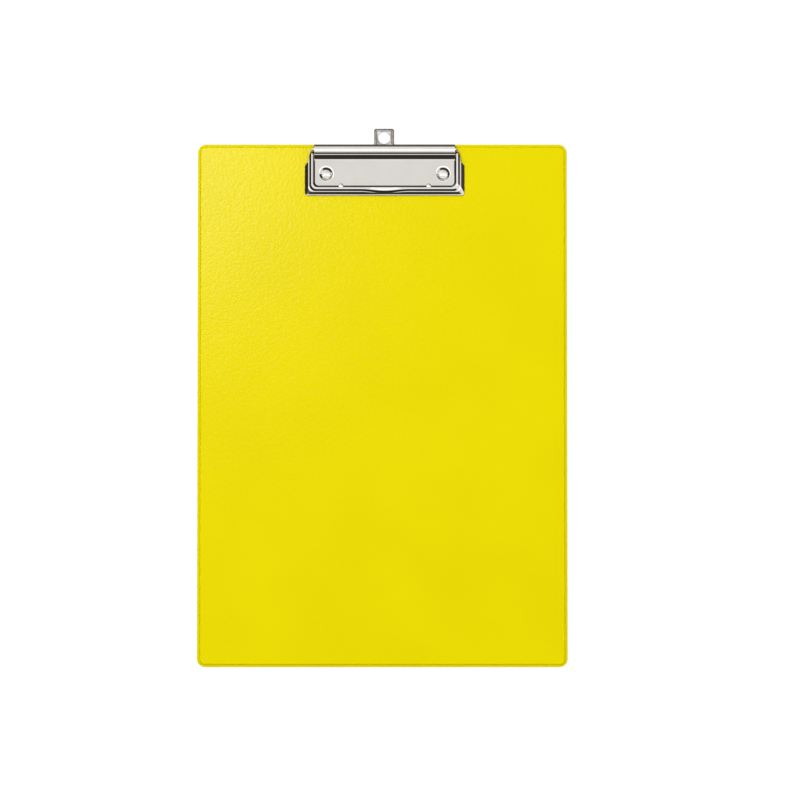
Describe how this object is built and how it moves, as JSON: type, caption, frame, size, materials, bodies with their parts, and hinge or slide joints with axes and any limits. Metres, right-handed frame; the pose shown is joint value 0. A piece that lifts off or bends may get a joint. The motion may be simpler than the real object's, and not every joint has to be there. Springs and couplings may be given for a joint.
{
  "type": "clipboard",
  "caption": "Yellow film-covered A4 clipboard with a plated spring bow clip riveted at the top and a sliding hanger eye",
  "frame": {"origin": "centre of the board's flat back face, which it rests on", "axes": "+Z is out of the writing face, +Y runs up the board to the clip, +X is to the right as one reads the sheet"},
  "size_m": [0.226, 0.3289, 0.0083],
  "materials": {
    "film": "fine embossed film",
    "core": "raw grey board",
    "nickel": "bright nickel plate",
    "steel": "ground",
    "wire": "drawn spring wire",
    "rivet": "bright nickel plate"
  },
  "bodies": {
    "board": {"front_film": "film", "back_film": "film", "board_core": "core", "clip_base_plate": "nickel", "rivet_left": "rivet", "rivet_right": "rivet", "hinge_pin": "steel", "torsion_spring_left": "wire", "torsion_spring_right": "wire"},
    "bow": {"clamp_bow": "nickel"},
    "hanger": {"hanger_eye": "nickel"}
  },
  "joints": [
    {"name": "bow_hinge", "type": "hinge", "parent": "board", "child": "bow", "pos_m": [0.0014, 0.15645, 0.00525], "axis": [-1, 0, 0], "range_deg": [0, 90], "stiffness_Nm_per_rad": 0.12, "springref_deg": -45.84, "deforming": ["torsion_spring_left", "torsion_spring_right"]},
    {"name": "hanger_slide", "type": "slide", "parent": "board", "child": "hanger", "axis": [0, 1, 0], "range_m": [-0.0085, 0]}
  ]
}
